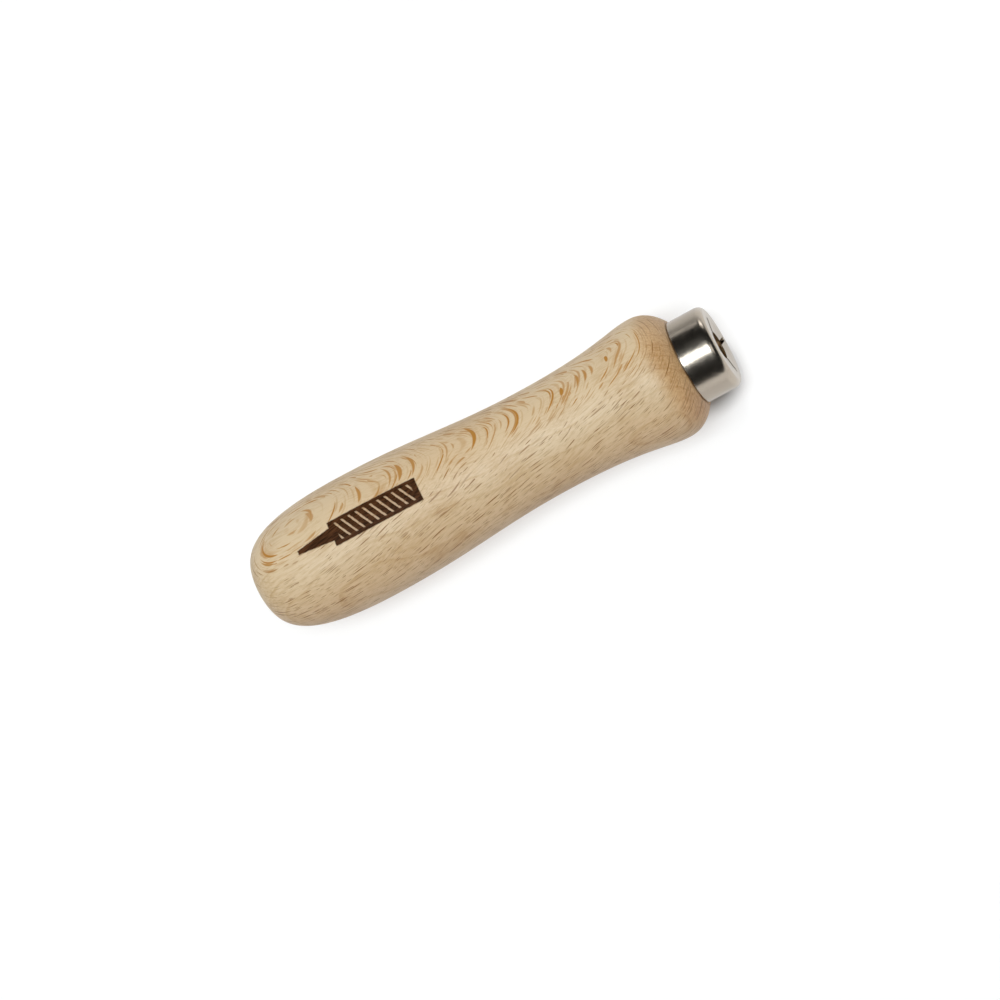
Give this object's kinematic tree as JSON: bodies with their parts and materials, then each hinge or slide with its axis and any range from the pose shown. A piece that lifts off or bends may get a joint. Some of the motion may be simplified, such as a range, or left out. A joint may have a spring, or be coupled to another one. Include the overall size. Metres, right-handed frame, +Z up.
{
  "type": "file handle",
  "caption": "Round turned wooden handle with a belly, a waist and a flare, and a steel ferrule whose claws grip the tang of a file.",
  "frame": {"origin": "on the surface the handle lies on, below the middle of its length", "axes": "+X along the handle's axis towards the ferrule, +Z up"},
  "size_m": [0.11, 0.0272, 0.0272],
  "materials": {
    "beech": "fine turned, open-pored, uncoated",
    "nickel_plated_steel": "bright plated"
  },
  "bodies": {
    "root": {"wooden_grip": "beech", "ferrule": "nickel_plated_steel"}
  },
  "joints": []
}
